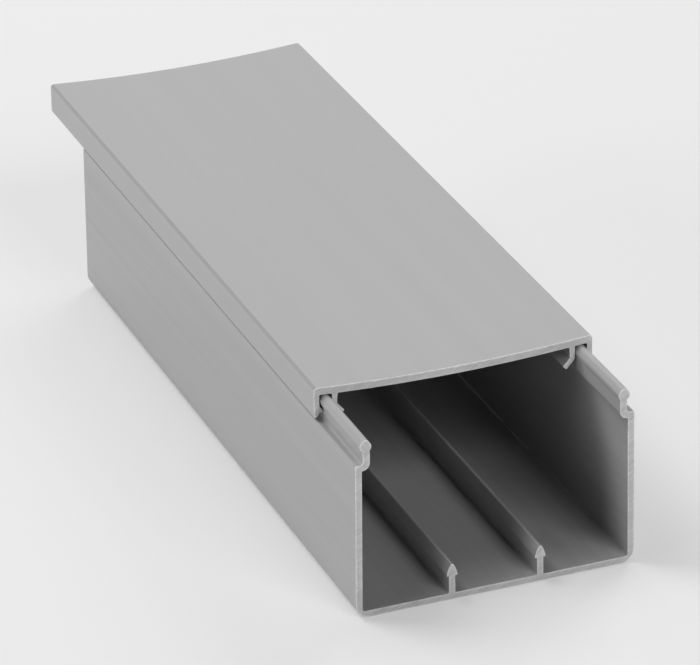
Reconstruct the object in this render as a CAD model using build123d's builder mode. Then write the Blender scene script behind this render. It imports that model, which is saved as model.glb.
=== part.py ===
from build123d import *
from math import cos, radians, sin, tan
import os

# Clip-on cord cover raceway: a sample length of open-topped trunking with its clip-on cover slid back.
# Both pieces are plain extrusions along Y, sawn square at their ends. The origin is the centre of
# the base channel's underside, +Z is up, the front cut end is at -Y. All sizes are in millimetres.

# Lengths along the run
base_length = 163.0            # base channel
cover_length = 163.0           # cover, cut to the same length as the base
cover_setback = 21.0           # how far the cover's front end lies behind the base's front end

# Base channel: floor and walls
base_width = 60.0              # over the walls' outer faces at the underside
floor_thickness = 1.4
wall_thickness = 1.4
wall_lean = 0.3                # how far each wall's outer face leans in at its shoulder
bottom_corner_radius = 3.0     # outer bottom edges
floor_corner_radius = 0.5      # inside, where the floor turns up into the wall
shoulder_height = 33.95        # top of the ledge that the cover's skirt stands over
shoulder_edge_radius = 0.35

# Base channel: joggled neck and bead on top of each wall
neck_thickness = 1.5
neck_height = 2.9              # shoulder up to where the bead leaves the neck
neck_foot_radius = 0.6         # hollow where the shoulder turns up into the neck
joggle_depth = 1.35            # shoulder down to the underside of the joggle
joggle_step = 0.05             # fine ledge left on the wall's inner face under the joggle
bead_height = 2.4              # from the top of the neck to the bead's crown
bead_overhang = 0.34           # how far the bead stands in over the neck's inner face
bead_belly = 1.2               # top of the neck up to the bead's widest line
bead_undercut = 0.22           # how far the bead's outer flank draws in down to its underside
bead_underside_rise = 0.4      # how much the bead's underside climbs outwards from the neck
bead_underside_radius = 0.2
bead_inner_rise = 0.6          # how much the bead's inner underside climbs from the neck to its flank
bead_crown = 1.0               # width of the crown before it is rounded
bead_crown_radius = 0.85
bead_belly_radius = 1.0

# Base channel: barbed ribs on the floor for clip-in dividers
rib_spacing = 19.0             # centre to centre
rib_thickness = 1.35
rib_height = 7.9               # rib's tip above the channel's underside
rib_root_radius = 0.25
barb_width = 2.25
barb_height = 5.25             # barb's underside above the channel's underside
barb_belly = 0.45              # barb's underside up to its widest line
barb_edge_radius = 0.18
barb_waist = 1.64              # width half way up the tapered flanks
barb_flank_radius = 2.5
barb_tip = 0.55                # width of the tip before it is rounded
barb_tip_radius = 0.25

# Cover: dished web and outer skirts
web_thickness = 1.6
web_dish = 1.15                # how far the web sinks from its side edges to its middle
cover_edge_radius = 0.75
skirt_thickness = 1.15
skirt_toe = 0.5                # thickness of the skirt's lower edge
skirt_toe_radius = 0.15
lip_lead = 0.92                # height of the lead-in slope from the toe up to the lip
lip_reach = 0.6                # how far the lip stands in from the skirt's inner face
lip_nose = 0.56                # blunt height of the lip's tip
lip_ramp = 0.91                # height of the slope from the lip's tip back to the skirt
lip_radius = 0.12
web_root_radius = 0.3          # where skirts and legs leave the web

# Cover: inner legs with a kinked hook
leg_thickness = 1.3            # where the leg leaves the web
leg_drop = 4.7                 # cover's side edges down to the bend on the leg's outer face
hook_thickness = 1.05
hook_length = 2.75
hook_angle = 42.0              # how far the hook turns in from the vertical, in degrees
hook_bend_radius = 0.2
hook_end_radius = 0.15

# Fits between the two pieces
bead_clearance = 0.08          # bead to the skirt and to the leg, on each side
crown_clearance = 0.08         # bead's crown to the web's underside
lip_clearance = 0.15           # lip's tip to the neck's outer face
skirt_gap = 0.6                # skirt's lower edge above the shoulder

base_side = base_width / 2
cover_side = base_side         # the cover finishes flush with the channel
bead_bottom = shoulder_height + neck_height
bead_top = bead_bottom + bead_height
skirt_inner = cover_side - skirt_thickness
bead_outer = skirt_inner - bead_clearance
neck_outer = skirt_inner - lip_reach - lip_clearance
neck_inner = neck_outer - neck_thickness
bead_inner = neck_inner - bead_overhang
leg_outer = bead_inner - bead_clearance
leg_inner = leg_outer - leg_thickness
crown_middle = (bead_outer + bead_inner) / 2


def web_sink(x):
    """How far the dished web lies below the cover's side edges at the distance x from its middle."""
    return web_dish * (1 - (x / cover_side) ** 2)


web_underside = bead_top + crown_clearance + web_sink(crown_middle)
cover_edge_height = web_underside + web_thickness


def base_outline():
    """Right half of the channel's section without its rib: points and their corner radii."""
    wall_top_outer = base_side - wall_lean
    wall_top_inner = wall_top_outer - wall_thickness
    joggle_height = shoulder_height - joggle_depth
    joggle_radius = wall_top_inner - neck_inner - joggle_step
    belly_height = bead_bottom + bead_belly
    return [
        (0, 0, 0),
        (base_side, 0, bottom_corner_radius),
        (wall_top_outer, shoulder_height, shoulder_edge_radius),
        (neck_outer, shoulder_height, neck_foot_radius),
        (neck_outer, bead_bottom, bead_underside_radius),
        (bead_outer - bead_undercut, bead_bottom + bead_underside_rise, bead_underside_radius),
        (bead_outer, belly_height, bead_belly_radius),
        (crown_middle + bead_crown / 2, bead_top, bead_crown_radius),
        (crown_middle - bead_crown / 2, bead_top, bead_crown_radius),
        (bead_inner, belly_height, bead_belly_radius),
        (bead_inner, bead_bottom + bead_inner_rise, bead_underside_radius),
        (neck_inner, bead_bottom, 0),
        (neck_inner, joggle_height, joggle_radius),
        (wall_top_inner, joggle_height, 0),
        (base_side - wall_thickness, floor_thickness, floor_corner_radius),
        (0, floor_thickness, 0),
    ]


def rib_outline():
    """Right half of a barbed rib about its own middle line: points and their corner radii."""
    return [
        (0, 0, 0),
        (rib_thickness / 2, 0, 0),
        (rib_thickness / 2, barb_height, 0),
        (barb_width / 2, barb_height, barb_edge_radius),
        (barb_width / 2, barb_height + barb_belly, 0),
        (barb_waist / 2, (barb_height + barb_belly + rib_height) / 2, barb_flank_radius),
        (barb_tip / 2, rib_height, barb_tip_radius),
        (0, rib_height, 0),
    ]


def web_roots():
    """The hollow corners where the right skirt and leg leave the web."""
    return [(x, web_underside - web_sink(x)) for x in (skirt_inner, leg_outer, leg_inner)]


def skirt_outline():
    """The cover's right skirt and its lip, from inside the web down: points and corner radii."""
    lip_tip = skirt_inner - lip_reach
    root = cover_edge_height - web_sink(skirt_inner) - web_thickness / 2
    toe = shoulder_height + skirt_gap
    lip_bottom = toe + lip_lead
    lip_top = lip_bottom + lip_nose
    return [
        (cover_side, root, 0),
        (cover_side, toe, skirt_toe_radius),
        (cover_side - skirt_toe, toe, skirt_toe_radius),
        (skirt_inner, lip_bottom, 0),
        (lip_tip, lip_bottom, lip_radius),
        (lip_tip, lip_top, lip_radius),
        (skirt_inner, lip_top + lip_ramp, 0),
        (skirt_inner, root, 0),
    ]


def leg_outline():
    """The cover's right inner leg with its hook, from inside the web down: points and radii."""
    root = cover_edge_height - web_sink(leg_outer) - web_thickness / 2
    bend = cover_edge_height - leg_drop
    lean = radians(hook_angle)
    inner_bend = bend + hook_thickness * tan(lean / 2)
    end_outer = (leg_outer - hook_length * sin(lean), bend - hook_length * cos(lean))
    end_inner = (end_outer[0] - hook_thickness * cos(lean), end_outer[1] + hook_thickness * sin(lean))
    return [
        (leg_outer, root, 0),
        (leg_outer, bend, hook_bend_radius + hook_thickness),
        (*end_outer, hook_end_radius),
        (*end_inner, hook_end_radius),
        (leg_outer - hook_thickness, inner_bend, hook_bend_radius),
        (leg_inner, root, 0),
    ]


def filled(outline):
    """Flat sketch inside the outline's points, each corner rounded by its own radius."""
    with BuildSketch() as area:
        with BuildLine():
            FilletPolyline(
                [(x, z) for x, z, radius in outline],
                radius=[radius for x, z, radius in outline],
                close=True,
            )
        make_face()
    return area.sketch


with BuildSketch() as rib_section:
    add(filled(rib_outline()))
    mirror(about=Plane.YZ)

with BuildPart() as base_channel:
    with BuildSketch(Plane.XZ.offset(base_length / 2)) as base_section:
        add(filled(base_outline()))
        with Locations((rib_spacing / 2, 0)):
            add(rib_section.sketch)
        mirror(about=Plane.YZ)
        floor_corners = base_section.vertices().filter_by_position(
            Axis.Y, floor_thickness, floor_thickness
        )
        rib_reach = rib_spacing / 2 + rib_thickness
        fillet(floor_corners.filter_by_position(Axis.X, -rib_reach, rib_reach), rib_root_radius)
    extrude(amount=-base_length)
base_channel.part.label = "base_channel"

cover_front = base_length / 2 - cover_setback
with BuildPart() as cover:
    with BuildSketch(Plane.XZ.offset(cover_front)) as cover_section:
        with BuildLine():
            top = TangentArc(
                (0, cover_edge_height - web_dish), (cover_side, cover_edge_height), tangent=(1, 0)
            )
            underside = TangentArc(
                (0, web_underside - web_dish), (cover_side, web_underside), tangent=(1, 0)
            )
            Line(top @ 0, underside @ 0)
            Line(top @ 1, underside @ 1)
        make_face()
        add(filled(skirt_outline()))
        add(filled(leg_outline()))
        mirror(about=Plane.YZ)
        fillet(cover_section.vertices().group_by(Axis.Y)[-1], cover_edge_radius)
    extrude(amount=-cover_length)
    run_edges = cover.edges().filter_by(Axis.Y)
    cover_middle = cover_length / 2 - cover_front
    roots = [
        run_edges.sort_by_distance((side * x, cover_middle, z))[0]
        for side in (-1, 1)
        for x, z in web_roots()
    ]
    fillet(roots, web_root_radius)
cover.part.label = "cover"

os.makedirs("parts", exist_ok=True)
export_step(base_channel.part, "parts/base_channel.step")
export_step(cover.part, "parts/cover.step")
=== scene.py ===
import math

import bmesh
import bpy
from bpy.props import FloatProperty, FloatVectorProperty, IntProperty, PointerProperty
from mathutils import Matrix, Vector


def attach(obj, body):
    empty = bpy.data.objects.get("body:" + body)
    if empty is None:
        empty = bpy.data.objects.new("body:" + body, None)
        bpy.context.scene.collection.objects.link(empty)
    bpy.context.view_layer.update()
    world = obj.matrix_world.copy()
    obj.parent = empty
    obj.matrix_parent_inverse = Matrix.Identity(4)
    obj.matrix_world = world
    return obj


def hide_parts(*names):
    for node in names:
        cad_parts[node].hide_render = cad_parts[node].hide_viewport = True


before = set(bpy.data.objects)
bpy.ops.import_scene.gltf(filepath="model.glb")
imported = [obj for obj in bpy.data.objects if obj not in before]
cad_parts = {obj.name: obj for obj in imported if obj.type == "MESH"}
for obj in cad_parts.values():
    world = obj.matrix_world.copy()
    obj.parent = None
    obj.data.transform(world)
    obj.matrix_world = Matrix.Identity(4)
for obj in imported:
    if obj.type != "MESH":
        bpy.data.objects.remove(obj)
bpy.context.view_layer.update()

bl_info = {
    "name": "Cord cover raceway",
    "version": (1, 0, 0),
    "blender": (4, 5, 0),
    "location": "3D View > Sidebar > Raceway",
    "description": "Dresses an extruded cable channel and its clip-on cover in satin grey plastic",
    "category": "Object",
}

MM = 0.001
TINY = 1e-6                      # metres: corners nearer than this are one corner
REFRACTION = 1.5                 # index of the plastic, and of the floor


# ---------------------------------------------------------------- settings

class RacewayCuts(bpy.types.PropertyGroup):
    """Sizes of the small forms that sawing leaves on the ends of both pieces"""

    edge_break: FloatProperty(
        name="Broken edge",
        description="Width of the worn edge round each sawn end",
        default=0.115 * MM, min=0.0, precision=6, unit="LENGTH",
    )
    edge_steps: IntProperty(
        name="Edge steps",
        description="Facets across the worn edge",
        default=2, min=1, max=6,
    )
    flat_angle: FloatProperty(
        name="Flat angle",
        description="Faces that meet at less than this are joined into one flat face",
        default=math.radians(0.4), subtype="ANGLE", unit="ROTATION",
    )
    sharp_angle: FloatProperty(
        name="Sharp angle",
        description="Edges that turn more than this are shaded as sharp",
        default=math.radians(38.0), subtype="ANGLE", unit="ROTATION",
    )


class RacewayFinish(bpy.types.PropertyGroup):
    """Colours and surface of the extruded plastic"""

    base_colour: FloatVectorProperty(
        name="Channel colour",
        description="Colour of the channel's plastic",
        default=(0.33, 0.33, 0.33), subtype="COLOR", min=0.0, max=1.0,
    )
    cover_colour: FloatVectorProperty(
        name="Cover colour",
        description="Colour of the cover's plastic",
        default=(0.345, 0.345, 0.345), subtype="COLOR", min=0.0, max=1.0,
    )
    skin_gloss: FloatProperty(
        name="Skin gloss",
        description="How strongly the skin reflects, where 0.5 is common plastic",
        default=0.5, min=0.0, max=1.0, subtype="FACTOR",
    )
    # Partly painted light: besides the sawn plastic's own paleness, this lightness stands in for
    # light that the lamps don't bring to the sawn ends
    sawn_tone: FloatProperty(
        name="Sawn tone",
        description="How light a sawn face is beside the skin",
        default=1.76, min=0.5, max=2.6,
    )
    # Painted highlight with whitening: the worn edge faces are coloured lighter than the sawn faces
    edge_tone: FloatProperty(
        name="Edge tone",
        description="How light a whitened edge is beside the skin",
        default=1.9, min=0.5, max=2.6,
    )
    # Painted highlight with whitening: the sawn faces are coloured lighter towards their edges
    edge_highlight_tone: FloatProperty(
        name="Edge highlight tone",
        description="How much lighter a sawn face is at its edges than in its middle",
        default=1.3, min=1.0, max=2.5,
    )
    edge_highlight_reach: FloatProperty(
        name="Edge highlight reach",
        description="How far the lighter band reaches in from the edges of a sawn face",
        default=0.45 * MM, min=0.0, precision=6, unit="LENGTH",
    )
    skin_roughness: FloatProperty(
        name="Skin roughness",
        description="Roughness of the satin skin that the die leaves",
        default=0.4, min=0.0, max=1.0, subtype="FACTOR",
    )
    sawn_roughness: FloatProperty(
        name="Sawn roughness",
        description="Roughness of a sawn face",
        default=0.62, min=0.0, max=1.0, subtype="FACTOR",
    )
    base_streaks: FloatProperty(
        name="Channel streaks",
        description="How much the tone of the channel's streaks departs from its colour",
        default=0.05, min=0.0, max=0.5, subtype="FACTOR",
    )
    cover_streaks: FloatProperty(
        name="Cover streaks",
        description="How much the tone of the cover's streaks departs from its colour",
        default=0.008, min=0.0, max=0.5, subtype="FACTOR",
    )
    # Painted shade: the cover's colour is darkened along its rounded left edge
    painted_edge_shade_depth: FloatProperty(
        name="Painted edge shade",
        description="How much darker the cover is along its rounded left edge",
        default=0.22, min=0.0, max=0.5, subtype="FACTOR",
    )
    die_line_depth: FloatProperty(
        name="Die line depth",
        description="Depth of the fine lines that the die draws along the run",
        default=0.012 * MM, min=0.0, precision=6, unit="LENGTH",
    )
    saw_mark_depth: FloatProperty(
        name="Saw mark depth",
        description="Depth of the marks that the saw leaves on the ends",
        default=0.05 * MM, min=0.0, precision=6, unit="LENGTH",
    )


class RacewayStage(bpy.types.PropertyGroup):
    """Floor, lamps and camera"""

    floor_colour: FloatVectorProperty(
        name="Floor colour",
        description="Colour of the pale floor",
        default=(0.73, 0.73, 0.73), subtype="COLOR", min=0.0, max=1.0,
    )
    floor_glow: FloatProperty(
        name="Floor glow",
        description="Share of the floor's tone that is even and keeps its shadows soft",
        default=0.42, min=0.0, max=1.0, subtype="FACTOR",
    )
    floor_size: FloatProperty(
        name="Floor size",
        description="Side of the square floor",
        default=8.0, min=0.5, unit="LENGTH",
    )
    lamp_distance: FloatProperty(
        name="Lamp distance",
        description="How far the soft lamps stand from the part",
        default=3.0, min=0.3, unit="LENGTH",
    )
    lamp_level: FloatProperty(
        name="Lamp level",
        description="Strength of all the soft lamps together",
        default=1.0, min=0.0,
    )
    room_level: FloatProperty(
        name="Room level",
        description="Strength of the even light that comes from the room",
        default=0.02, min=0.0,
    )
    camera_place: FloatVectorProperty(
        name="Camera place",
        description="Where the camera stands",
        default=(-0.32743, -0.84551, 0.47202), subtype="XYZ", unit="LENGTH",
    )
    camera_azimuth: FloatProperty(
        name="Camera azimuth",
        description="Direction the camera looks in, turned from the run towards the right",
        default=math.radians(21.25), subtype="ANGLE", unit="ROTATION",
    )
    camera_fall: FloatProperty(
        name="Camera fall",
        description="How far the camera looks down",
        default=math.radians(26.51), subtype="ANGLE", unit="ROTATION",
    )
    camera_roll: FloatProperty(
        name="Camera roll",
        description="Turn of the camera about its own line of sight",
        default=math.radians(-0.95), subtype="ANGLE", unit="ROTATION",
    )
    camera_lens: FloatProperty(
        name="Camera lens",
        description="Focal length on a 36 mm wide frame, in millimetres",
        default=247.0, min=10.0,
    )


# ---------------------------------------------------------------- node helpers

def add_node(tree, kind, settings=None, **inputs):
    """New node in the tree, with its settings and with inputs that are sockets or constants."""
    node = tree.nodes.new(kind)
    for name, value in (settings or {}).items():
        setattr(node, name, value)
    for name, value in inputs.items():
        plug(tree, node.inputs[name.replace("_", " ")], value)
    return node


def plug(tree, socket, value):
    """Links a socket to an input, or sets the input to a constant."""
    if isinstance(value, bpy.types.NodeSocket):
        tree.links.new(value, socket)
    else:
        socket.default_value = value


def maths(tree, operation, first, second=0.0, clamp=False):
    """Result of a math node on sockets or constants."""
    node = add_node(tree, "ShaderNodeMath", {"operation": operation, "use_clamp": clamp})
    plug(tree, node.inputs[0], first)
    plug(tree, node.inputs[1], second)
    return node.outputs[0]


def remap(tree, value, low, high, to_low, to_high):
    """The value moved from one range to another and held inside it."""
    node = add_node(
        tree, "ShaderNodeMapRange", {"clamp": True},
        Value=value, From_Min=low, From_Max=high, To_Min=to_low, To_Max=to_high,
    )
    return node.outputs["Result"]


def stretched(tree, vector, scale):
    """The coordinates times a factor on each axis: a small factor draws a pattern out."""
    node = add_node(tree, "ShaderNodeVectorMath", {"operation": "MULTIPLY"})
    plug(tree, node.inputs[0], vector)
    plug(tree, node.inputs[1], scale)
    return node.outputs[0]


def noise(tree, vector, scale, detail=2.0, roughness=0.5):
    """Soft noise between 0 and 1, with the scale in cells per metre."""
    node = add_node(
        tree, "ShaderNodeTexNoise", {"noise_dimensions": "3D"},
        Vector=vector, Scale=scale, Detail=detail, Roughness=roughness,
    )
    return node.outputs["Fac"]


def blend(tree, first, first_share, second):
    """Two values added up, the first with its share and the second with the rest."""
    return maths(
        tree, "ADD",
        maths(tree, "MULTIPLY", first, first_share),
        maths(tree, "MULTIPLY", second, 1.0 - first_share),
    )


def new_group(name, inputs, outputs):
    """Node group with float or vector sockets; returns its tree, input node and output node."""
    tree = bpy.data.node_groups.new(name, "ShaderNodeTree")
    for label, kind, default in inputs:
        socket = tree.interface.new_socket(name=label, in_out="INPUT", socket_type=kind)
        if default is not None:
            socket.default_value = default
    for label in outputs:
        tree.interface.new_socket(name=label, in_out="OUTPUT", socket_type="NodeSocketFloat")
    return tree, tree.nodes.new("NodeGroupInput"), tree.nodes.new("NodeGroupOutput")


# Factors on X, Y and Z that draw a pattern out along the run, or along the saw's cut
ALONG_RUN = (1.0, 0.006, 1.0)
DRIFTING_RUN = (1.0, 0.012, 1.0)
ALONG_CUT = (0.18, 0.02, 1.0)

# The middle of a noise's spread, which is stretched to the whole of 0 to 1
NOISE_LOW, NOISE_HIGH = 0.3, 0.7
MARKS_LOW, MARKS_HIGH = 0.35, 0.68

FINE_SHARE = 0.3                 # share of the fine die lines in the slow tone
SCRATCH_SHARE = 0.7              # share of the scratches in the saw marks
TORN_SCALE = 2400.0              # torn spots on a sawn end, in cells per metre
DEPTH_RAYS = 12                  # rays that feel how near a point lies to a sawn face's edge
HIGHLIGHT_LOW, HIGHLIGHT_HIGH = 0.04, 0.5      # closed-in share at which the painted edge highlight starts and is full
SHADE_CORE = 0.45               # share of its reach in which the painted edge shade is at full depth


def die_lines_group():
    """What the extrusion die leaves along the run: fine lines, streaks and a slow tone."""
    tree, given, out = new_group(
        "die_lines",
        [("Vector", "NodeSocketVector", None), ("Line Scale", "NodeSocketFloat", 900.0),
         ("Streak Scale", "NodeSocketFloat", 420.0), ("Band Scale", "NodeSocketFloat", 110.0)],
        ["Height", "Streak", "Tone"],
    )
    along_run = stretched(tree, given.outputs["Vector"], ALONG_RUN)
    drifting = stretched(tree, given.outputs["Vector"], DRIFTING_RUN)
    fine = noise(tree, along_run, given.outputs["Line Scale"], detail=3.0, roughness=0.6)
    bands = noise(tree, drifting, given.outputs["Band Scale"], detail=2.5, roughness=0.55)
    wider = noise(tree, along_run, given.outputs["Streak Scale"], detail=2.0, roughness=0.7)
    streak = remap(tree, wider, NOISE_LOW, NOISE_HIGH, 0.0, 1.0)
    tone = remap(tree, blend(tree, fine, FINE_SHARE, bands), NOISE_LOW, NOISE_HIGH, 0.0, 1.0)
    tree.links.new(fine, out.inputs["Height"])
    tree.links.new(streak, out.inputs["Streak"])
    tree.links.new(tone, out.inputs["Tone"])
    return tree


def saw_marks_group():
    """Slanting scratches and torn spots on a sawn end, in the end's own plane."""
    tree, given, out = new_group(
        "saw_marks",
        [("Vector", "NodeSocketVector", None), ("Slant", "NodeSocketFloat", math.radians(24.0)),
         ("Scale", "NodeSocketFloat", 1500.0)],
        ["Height", "Tone"],
    )
    turned = add_node(
        tree, "ShaderNodeVectorRotate", {"rotation_type": "Y_AXIS"},
        Vector=given.outputs["Vector"], Angle=given.outputs["Slant"],
    )
    along_cut = stretched(tree, turned.outputs[0], ALONG_CUT)
    scratches = noise(tree, along_cut, given.outputs["Scale"], detail=3.0, roughness=0.6)
    torn = noise(tree, given.outputs["Vector"], TORN_SCALE)
    marks = blend(tree, scratches, SCRATCH_SHARE, torn)
    tree.links.new(marks, out.inputs["Height"])
    tree.links.new(remap(tree, marks, MARKS_LOW, MARKS_HIGH, 0.0, 1.0), out.inputs["Tone"])
    return tree


def painted_edge_highlight_group():
    """Mask that rises towards the edges of a sawn face, for the painted highlight and the whitened
    plastic there.
    """
    tree, given, out = new_group(
        "painted_edge_highlight", [("Reach", "NodeSocketFloat", 0.45 * MM)], ["Mask"],
    )
    depth = add_node(
        tree, "ShaderNodeAmbientOcclusion",
        {"samples": DEPTH_RAYS, "inside": True, "only_local": True},
        Distance=given.outputs["Reach"],
    )
    near = maths(tree, "SUBTRACT", 1.0, depth.outputs["AO"])
    tree.links.new(remap(tree, near, HIGHLIGHT_LOW, HIGHLIGHT_HIGH, 0.0, 1.0), out.inputs["Mask"])
    return tree


def painted_edge_shade_group():
    """Mask of painted shade that follows a rounded edge along the run, at the given place across and
    height.
    """
    tree, given, out = new_group(
        "painted_edge_shade",
        [("Vector", "NodeSocketVector", None), ("Across", "NodeSocketFloat", -29.7 * MM),
         ("Height", "NodeSocketFloat", 40.93 * MM), ("Reach", "NodeSocketFloat", 0.52 * MM)],
        ["Mask"],
    )
    place = add_node(tree, "ShaderNodeSeparateXYZ", Vector=given.outputs["Vector"])
    across = maths(tree, "SUBTRACT", place.outputs["X"], given.outputs["Across"])
    above = maths(tree, "SUBTRACT", place.outputs["Z"], given.outputs["Height"])
    squares = maths(
        tree, "ADD", maths(tree, "POWER", across, 2.0), maths(tree, "POWER", above, 2.0),
    )
    share = maths(tree, "DIVIDE", maths(tree, "SQRT", squares), given.outputs["Reach"])
    tree.links.new(remap(tree, share, SHADE_CORE, 1.0, 1.0, 0.0), out.inputs["Mask"])
    return tree


def specks_group():
    """Sparse fine specks of dust and grit on the skin, as a mask."""
    tree, given, out = new_group(
        "specks",
        [("Vector", "NodeSocketVector", None), ("Scale", "NodeSocketFloat", 260.0),
         ("Size", "NodeSocketFloat", 0.05), ("Share", "NodeSocketFloat", 0.12)],
        ["Mask"],
    )
    cells = add_node(
        tree, "ShaderNodeTexVoronoi", {"feature": "F1"},
        Vector=given.outputs["Vector"], Scale=given.outputs["Scale"],
    )
    inside = maths(tree, "LESS_THAN", cells.outputs["Distance"], given.outputs["Size"])
    parts = add_node(tree, "ShaderNodeSeparateColor", Color=cells.outputs["Color"])
    chosen = maths(tree, "LESS_THAN", parts.outputs[0], given.outputs["Share"])
    tree.links.new(maths(tree, "MULTIPLY", inside, chosen), out.inputs["Mask"])
    return tree


def shared_group(name):
    """The named effect, built the first time that a material asks for it."""
    makers = {
        "die_lines": die_lines_group, "saw_marks": saw_marks_group, "specks": specks_group,
        "painted_edge_highlight": painted_edge_highlight_group, "painted_edge_shade": painted_edge_shade_group,
    }
    return bpy.data.node_groups.get(name) or makers[name]()


def effect(tree, name, **inputs):
    """Group node of the named effect."""
    return add_node(tree, "ShaderNodeGroup", {"node_tree": shared_group(name)}, **inputs)


def shades(tree, colour, darkest, lightest, tone):
    """The colour times a factor that runs from darkest to lightest with the tone."""
    factor = remap(tree, tone, 0.0, 1.0, darkest, lightest)
    node = add_node(tree, "ShaderNodeMix", {"data_type": "RGBA", "blend_type": "MULTIPLY"})
    node.inputs["Factor"].default_value = 1.0
    colours = [socket for socket in node.inputs if socket.type == "RGBA"]
    grey = add_node(tree, "ShaderNodeCombineColor", Red=factor, Green=factor, Blue=factor)
    plug(tree, colours[0], colour)
    plug(tree, colours[1], grey.outputs[0])
    return [socket for socket in node.outputs if socket.type == "RGBA"][0]


def new_material(name):
    """New node material; returns it, its tree, its Principled shader and its coordinates."""
    material = bpy.data.materials.new(name)
    material.use_nodes = True
    tree = material.node_tree
    shader = tree.nodes["Principled BSDF"]
    shader.inputs["IOR"].default_value = REFRACTION
    place = add_node(tree, "ShaderNodeTexCoord").outputs["Object"]
    return material, tree, shader, place


def relief(tree, shader, strength, depth, height):
    """Gives the shader a bump of the given depth."""
    bump = add_node(tree, "ShaderNodeBump", Strength=strength, Distance=depth, Height=height)
    tree.links.new(bump.outputs["Normal"], shader.inputs["Normal"])


# Factors on the colour, and steps in roughness, that the patterns swing between
BAND_TONES = (0.965, 1.03)
SAW_TONES = (0.86, 1.14)
FLOOR_TONES = (0.985, 1.015)
SKIN_SHEEN = (-0.04, 0.05)
SAWN_SHEEN = (-0.06, 0.06)

DUST_DEPTH = 3.0                 # whole swings of the bands' tone that a speck of dust takes off
SKIN_RELIEF = 0.6                # strength of the bump on the skin
SAWN_RELIEF = 0.5                # strength of the bump on a sawn face


def skin_material(name, colour, finish, streaks, edge_shade_depth):
    """Satin skin as it leaves the die: lines along the run, a little dust, and painted shade along a
    rounded edge.
    """
    material, tree, shader, place = new_material(name)
    shader.inputs["Specular IOR Level"].default_value = finish.skin_gloss
    lines = effect(tree, "die_lines", Vector=place)
    dust = effect(tree, "specks", Vector=place)
    edge = effect(tree, "painted_edge_shade", Vector=place)
    tone = lines.outputs["Tone"]
    dimmed = maths(tree, "MULTIPLY", dust.outputs["Mask"], DUST_DEPTH)
    banded = shades(tree, (*colour, 1.0), *BAND_TONES, maths(tree, "SUBTRACT", tone, dimmed))
    streaked = shades(tree, banded, 1.0 - streaks, 1.0 + streaks, lines.outputs["Streak"])
    # painted shade: the colour darkened along the rounded edge by the edge mask
    edge_shaded = shades(tree, streaked, 1.0, 1.0 - edge_shade_depth, edge.outputs["Mask"])
    sheen = [finish.skin_roughness + step for step in SKIN_SHEEN]
    tree.links.new(edge_shaded, shader.inputs["Base Color"])
    tree.links.new(remap(tree, tone, 0.0, 1.0, *sheen), shader.inputs["Roughness"])
    relief(tree, shader, SKIN_RELIEF, finish.die_line_depth, lines.outputs["Height"])
    return material


def sawn_material(name, colour, lightness, finish):
    """Sawn plastic: paler and duller, with slanting saw marks, and lighter towards its edges as
    painted highlight with whitening; part of its paleness is painted light.
    """
    material, tree, shader, place = new_material(name)
    marks = effect(tree, "saw_marks", Vector=place)
    edges = effect(tree, "painted_edge_highlight", Reach=finish.edge_highlight_reach)
    # lightness of the sawn faces: partly the plastic's own, partly painted light
    tint = tuple(min(1.0, part * lightness) for part in colour)
    marked = shades(tree, (*tint, 1.0), *SAW_TONES, marks.outputs["Tone"])
    # painted highlight with whitening: lighter towards the sawn face's edges
    highlighted = shades(tree, marked, 1.0, finish.edge_highlight_tone, edges.outputs["Mask"])
    sheen = [finish.sawn_roughness + step for step in SAWN_SHEEN]
    tree.links.new(highlighted, shader.inputs["Base Color"])
    tree.links.new(
        remap(tree, marks.outputs["Tone"], 0.0, 1.0, *sheen), shader.inputs["Roughness"],
    )
    relief(tree, shader, SAWN_RELIEF, finish.saw_mark_depth, marks.outputs["Height"])
    return material


# ---------------------------------------------------------------- pieces

SKIN, SAWN, EDGE = range(3)      # material slots of a dressed piece
END_FACING = 0.99                # share of its normal that an end face has along the run
ROUND_PROFILE = 0.5              # shape of the worn edge: a part of a circle
NORMAL_WEIGHT = 50               # large faces outweigh small ones in the shading in proportion


def is_end_face(face):
    """True for a face that looks along the run, as only the two sawn ends do."""
    return abs(face.normal.y) > END_FACING


def dress_extrusion(node_name, piece_name, cuts):
    """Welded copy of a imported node, flat faces joined, with worn edges round its two sawn ends."""
    mesh_data = bmesh.new()
    mesh_data.from_mesh(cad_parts[node_name].data)
    bmesh.ops.remove_doubles(mesh_data, verts=mesh_data.verts, dist=TINY)
    bmesh.ops.dissolve_limit(
        mesh_data, angle_limit=cuts.flat_angle, verts=mesh_data.verts, edges=mesh_data.edges,
    )
    bmesh.ops.recalc_face_normals(mesh_data, faces=mesh_data.faces)
    mesh_data.normal_update()
    ends = [face for face in mesh_data.faces if is_end_face(face)]
    if len(ends) != 2:
        raise RuntimeError(f"{node_name} should have two sawn ends and has {len(ends)}")
    for face in mesh_data.faces:
        face.material_index = SAWN if face in ends else SKIN
    rims = list({edge for face in ends for edge in face.edges})
    worn = bmesh.ops.bevel(
        mesh_data, geom=rims, offset=cuts.edge_break, offset_type="OFFSET", affect="EDGES",
        segments=cuts.edge_steps, profile=ROUND_PROFILE, material=-1, clamp_overlap=False,
    )
    for face in worn["faces"]:
        if not is_end_face(face):
            face.material_index = EDGE
    bmesh.ops.dissolve_degenerate(mesh_data, dist=TINY / 2, edges=mesh_data.edges)
    for face in mesh_data.faces:
        face.smooth = True
    for edge in mesh_data.edges:
        if edge.is_manifold and edge.calc_face_angle() > cuts.sharp_angle:
            edge.smooth = False
    mesh = bpy.data.meshes.new(piece_name)
    mesh_data.to_mesh(mesh)
    mesh_data.free()
    piece = bpy.data.objects.new(piece_name, mesh)
    bpy.context.scene.collection.objects.link(piece)
    weights = piece.modifiers.new("flat_faces_stay_flat", "WEIGHTED_NORMAL")
    weights.mode = "FACE_AREA"
    weights.weight = NORMAL_WEIGHT
    weights.keep_sharp = True
    return piece


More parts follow.
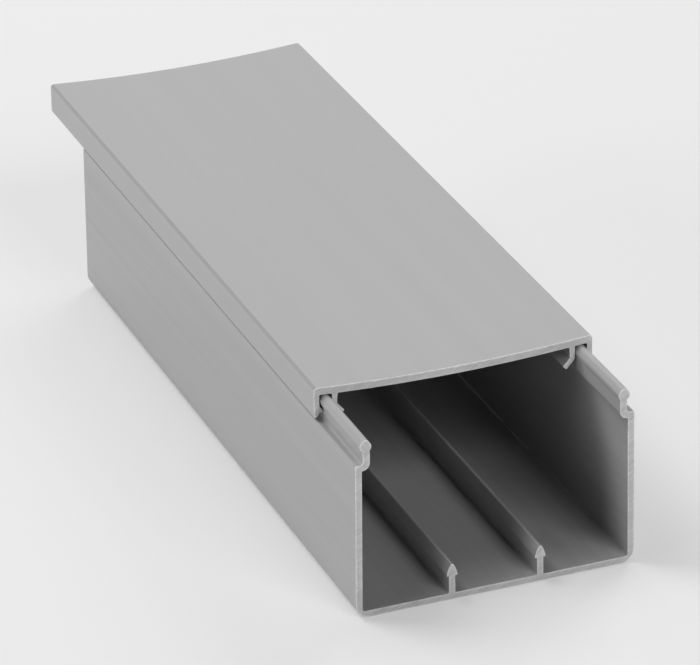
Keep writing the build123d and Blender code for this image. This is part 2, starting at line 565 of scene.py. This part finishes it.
def finish_piece(piece, colour, finish, streaks, edge_shade_depth):
    """Gives a dressed piece its skin and sawn materials, and a lighter one on its worn edges as
    painted highlight with whitening.
    """
    slots = piece.data.materials
    slots.append(skin_material(f"{piece.name}_skin", colour, finish, streaks, edge_shade_depth))
    slots.append(sawn_material(f"{piece.name}_sawn", colour, finish.sawn_tone, finish))
    # worn edges coloured lighter: painted highlight with whitening
    slots.append(sawn_material(f"{piece.name}_edge", colour, finish.edge_tone, finish))


class RACEWAY_OT_base_channel(bpy.types.Operator):
    """Builds the open channel with its necks, beads and barbed floor ribs"""

    bl_idname = "raceway.base_channel"
    bl_label = "Base channel"

    def execute(self, context):
        scene = context.scene
        piece = dress_extrusion("base_channel", "channel_extrusion", scene.raceway_cuts)
        finish = scene.raceway_finish
        finish_piece(piece, finish.base_colour, finish, finish.base_streaks, 0.0)
        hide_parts("base_channel")
        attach(piece, "channel")
        return {"FINISHED"}


class RACEWAY_OT_cover(bpy.types.Operator):
    """Builds the dished clip-on cover with its skirts and kinked hooks"""

    bl_idname = "raceway.cover"
    bl_label = "Cover"

    def execute(self, context):
        scene = context.scene
        piece = dress_extrusion("cover", "cover_extrusion", scene.raceway_cuts)
        finish = scene.raceway_finish
        # the cover's skin gets painted shade along its rounded left edge
        finish_piece(piece, finish.cover_colour, finish, finish.cover_streaks, finish.painted_edge_shade_depth)
        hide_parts("cover")
        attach(piece, "lid")
        return {"FINISHED"}


# ---------------------------------------------------------------- stage

PALE_ROOM = (0.80, 0.80, 0.80, 1.0)
GRAIN_SCALE = 6.0                # slow clouds in the floor's tone, in cells per metre
FLOOR_ROUGHNESS = 0.9
FLOOR_GLOSS = 0.1


def seen_rays(tree):
    """1 for rays from the camera and reflected or refracted ones, 0 for those that light things."""
    path = add_node(tree, "ShaderNodeLightPath").outputs
    seen = maths(tree, "ADD", path["Is Camera Ray"], path["Is Glossy Ray"], clamp=True)
    return maths(tree, "ADD", seen, path["Is Transmission Ray"], clamp=True)


def pale_floor(stage):
    """Wide matt floor with a part of its tone even, so that the part's shadows stay soft."""
    mesh_data = bmesh.new()
    bmesh.ops.create_grid(mesh_data, x_segments=1, y_segments=1, size=stage.floor_size / 2)
    mesh = bpy.data.meshes.new("floor")
    mesh_data.to_mesh(mesh)
    mesh_data.free()
    floor = bpy.data.objects.new("floor", mesh)
    bpy.context.scene.collection.objects.link(floor)
    material, tree, shader, place = new_material("pale_floor")
    clouded = shades(
        tree, (*stage.floor_colour, 1.0), *FLOOR_TONES, noise(tree, place, GRAIN_SCALE),
    )
    tree.links.new(clouded, shader.inputs["Base Color"])
    shader.inputs["Roughness"].default_value = FLOOR_ROUGHNESS
    shader.inputs["Specular IOR Level"].default_value = FLOOR_GLOSS
    glow = add_node(tree, "ShaderNodeEmission", Color=PALE_ROOM, Strength=1.0)
    even = maths(tree, "MULTIPLY", seen_rays(tree), stage.floor_glow)
    mixed = add_node(tree, "ShaderNodeMixShader", Fac=even)
    tree.links.new(shader.outputs[0], mixed.inputs[1])
    tree.links.new(glow.outputs[0], mixed.inputs[2])
    tree.links.new(mixed.outputs[0], tree.nodes["Material Output"].inputs["Surface"])
    mesh.materials.append(material)


# Name, azimuth and elevation in degrees (azimuth 0 is in front, 90 on the right), and strength
SOFT_LAMPS = (
    ("left_key_lamp", 225, 54, 0.265),
    ("right_key_lamp", 135, 38, 0.155),
    ("rear_lamp", 180, 50, 0.07),
    ("left_fill", 270, 17, 0.145),
    ("front_fill", 15, 38, 0.165),
)
LAMP_SPREAD = 0.45               # a lamp's side as a share of its distance
LAMP_WATTS = 23.7                # at strength 1, for each square metre of distance squared


def soft_lamp(name, azimuth, elevation, strength, stage):
    """Square soft lamp that points at the part from the given direction and leaves no highlight."""
    turn, rise = math.radians(azimuth), math.radians(elevation)
    place = stage.lamp_distance * Vector(
        (math.sin(turn) * math.cos(rise), -math.cos(turn) * math.cos(rise), math.sin(rise))
    )
    light = bpy.data.lights.new(name, "AREA")
    light.shape = "SQUARE"
    light.size = stage.lamp_distance * LAMP_SPREAD
    light.energy = strength * stage.lamp_level * LAMP_WATTS * stage.lamp_distance ** 2
    lamp = bpy.data.objects.new(name, light)
    lamp.location = place
    lamp.rotation_euler = (-place).to_track_quat("-Z", "Y").to_euler()
    lamp.visible_glossy = False
    bpy.context.scene.collection.objects.link(lamp)


def room_light(level):
    """Even light from all round, which the camera and reflections see as a pale room."""
    world = bpy.data.worlds.new("room")
    world.use_nodes = True
    tree = world.node_tree
    shader = tree.nodes["Background"]
    shader.inputs["Color"].default_value = PALE_ROOM
    tree.links.new(remap(tree, seen_rays(tree), 0.0, 1.0, level, 1.0), shader.inputs["Strength"])
    bpy.context.scene.world = world


FRAME_WIDTH = 36.0               # millimetres: the camera's frame that its lens is stated for


def photo_camera(stage):
    """Camera at the photograph's viewing angle."""
    data = bpy.data.cameras.new("camera")
    data.sensor_fit = "HORIZONTAL"
    data.sensor_width = FRAME_WIDTH
    data.lens = stage.camera_lens
    camera = bpy.data.objects.new("camera", data)
    turn = (
        Matrix.Rotation(-stage.camera_azimuth, 4, "Z")
        @ Matrix.Rotation(math.pi / 2 - stage.camera_fall, 4, "X")
        @ Matrix.Rotation(stage.camera_roll, 4, "Z")
    )
    camera.rotation_euler = turn.to_euler()
    camera.location = stage.camera_place
    bpy.context.scene.collection.objects.link(camera)
    bpy.context.scene.camera = camera


class RACEWAY_OT_stage(bpy.types.Operator):
    """Sets up the pale floor, the soft lamps, the room light and the camera"""

    bl_idname = "raceway.stage"
    bl_label = "Stage"

    def execute(self, context):
        stage = context.scene.raceway_stage
        pale_floor(stage)
        for name, azimuth, elevation, strength in SOFT_LAMPS:
            soft_lamp(name, azimuth, elevation, strength, stage)
        room_light(stage.room_level)
        photo_camera(stage)
        context.scene.view_settings.view_transform = "Standard"
        return {"FINISHED"}


# ---------------------------------------------------------------- sidebar

class RACEWAY_PT_panel(bpy.types.Panel):
    """Lists the raceway's settings and the steps that build it"""

    bl_idname = "RACEWAY_PT_panel"
    bl_label = "Cord cover raceway"
    bl_space_type = "VIEW_3D"
    bl_region_type = "UI"
    bl_category = "Raceway"

    def draw(self, context):
        column = self.layout.column(align=True)
        for setting in SETTINGS:
            group = getattr(context.scene, setting)
            for name in group.__annotations__:
                column.prop(group, name)
            column.separator()
        for operator in OPERATORS:
            column.operator(operator.bl_idname)


OPERATORS = (RACEWAY_OT_base_channel, RACEWAY_OT_cover, RACEWAY_OT_stage)
SETTINGS = {
    "raceway_cuts": RacewayCuts,
    "raceway_finish": RacewayFinish,
    "raceway_stage": RacewayStage,
}


def register():
    """Adds the settings, the steps and the panel to Blender."""
    for group in SETTINGS.values():
        bpy.utils.register_class(group)
    for name, group in SETTINGS.items():
        setattr(bpy.types.Scene, name, PointerProperty(type=group))
    for operator in OPERATORS:
        bpy.utils.register_class(operator)
    bpy.utils.register_class(RACEWAY_PT_panel)


def unregister():
    """Takes the panel, the steps and the settings out of Blender again."""
    bpy.utils.unregister_class(RACEWAY_PT_panel)
    for operator in reversed(OPERATORS):
        bpy.utils.unregister_class(operator)
    for name in SETTINGS:
        delattr(bpy.types.Scene, name)
    for group in reversed(SETTINGS.values()):
        bpy.utils.unregister_class(group)


def main():
    """Builds both pieces and the stage."""
    register()
    bpy.ops.raceway.base_channel()
    bpy.ops.raceway.cover()
    bpy.ops.raceway.stage()


if __name__ == "__main__":
    main()
